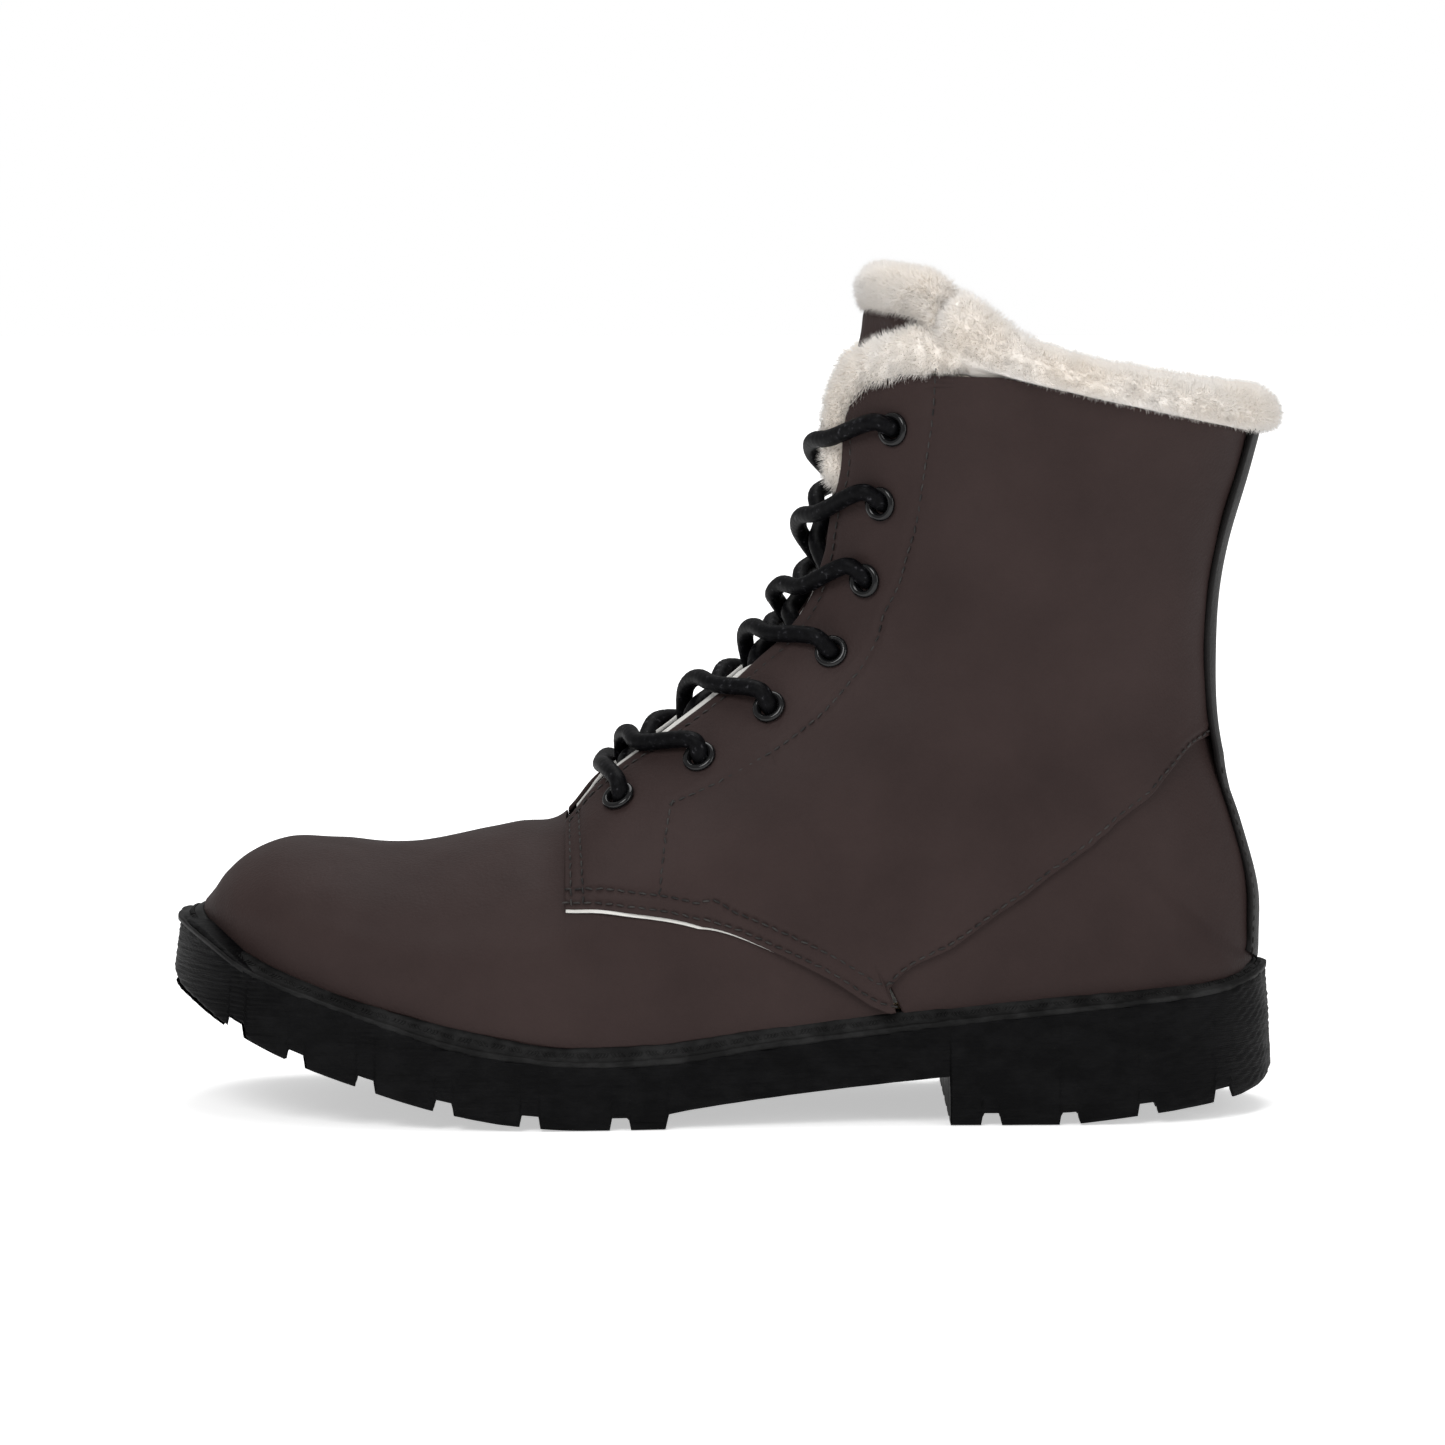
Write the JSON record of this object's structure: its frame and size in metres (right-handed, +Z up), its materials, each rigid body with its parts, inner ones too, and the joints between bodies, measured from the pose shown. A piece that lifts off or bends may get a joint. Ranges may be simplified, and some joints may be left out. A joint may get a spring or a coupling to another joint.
{
  "type": "lace-up winter boot",
  "caption": "Left ankle-high lace-up winter boot with leather upper, plush lining and collar, padded tongue and lugged rubber sole.",
  "frame": {"origin": "centre of the sole's length and width at the level of the tread", "axes": "toe to -X, heel to +X, outer (lateral) side of the left foot to -Y, +Z up"},
  "size_m": [0.3039, 0.113, 0.2323],
  "materials": {
    "leather": "satin, fine grain, dark brown",
    "backstay_leather": "satin, black",
    "rubber": "satin, black, striated side wall",
    "plush": "cream synthetic fur",
    "felt": "pale felt",
    "interlining": "stiffened woven cloth",
    "foam": "open foam",
    "fibreboard": "pressed fibreboard",
    "steel": "plain steel strip",
    "eyelet_metal": "gloss black",
    "lace_cord": "black braid",
    "aglet_plastic": "gloss black"
  },
  "bodies": {
    "boot": {"outsole": "rubber", "welt": "rubber", "bottom_filler": "fibreboard", "shank": "steel", "insole_board": "fibreboard", "footbed": "plush", "vamp": "leather", "toe_puff": "interlining", "vamp_insulation": "felt", "vamp_lining": "plush", "quarter_lateral": "leather", "quarter_medial": "leather", "heel_panel_lateral": "leather", "heel_panel_medial": "leather", "heel_counter": "interlining", "backstay": "backstay_leather", "facing_stay_lateral": "interlining", "facing_stay_medial": "interlining", "facing_lining_lateral": "leather", "facing_lining_medial": "leather", "quarter_insulation_lateral": "felt", "quarter_insulation_medial": "felt", "quarter_lining_lateral": "plush", "quarter_lining_medial": "plush", "collar_cuff": "plush", "eyelets_lateral": "eyelet_metal", "eyelets_medial": "eyelet_metal", "eyelet_washers_lateral": "eyelet_metal", "eyelet_washers_medial": "eyelet_metal", "lace": "lace_cord", "aglet_lateral": "aglet_plastic", "aglet_medial": "aglet_plastic"},
    "tongue": {"tongue_leather": "leather", "tongue_padding": "foam", "tongue_lining": "plush", "lace_keeper": "backstay_leather"}
  },
  "joints": [
    {"name": "tongue_tilt", "type": "hinge", "parent": "boot", "child": "tongue", "pos_m": [-0.042, 0, 0.076], "axis": [0, 1, 0], "range_deg": [0, 10], "stiffness_Nm_per_rad": 0.6, "springref_deg": -5.73}
  ]
}
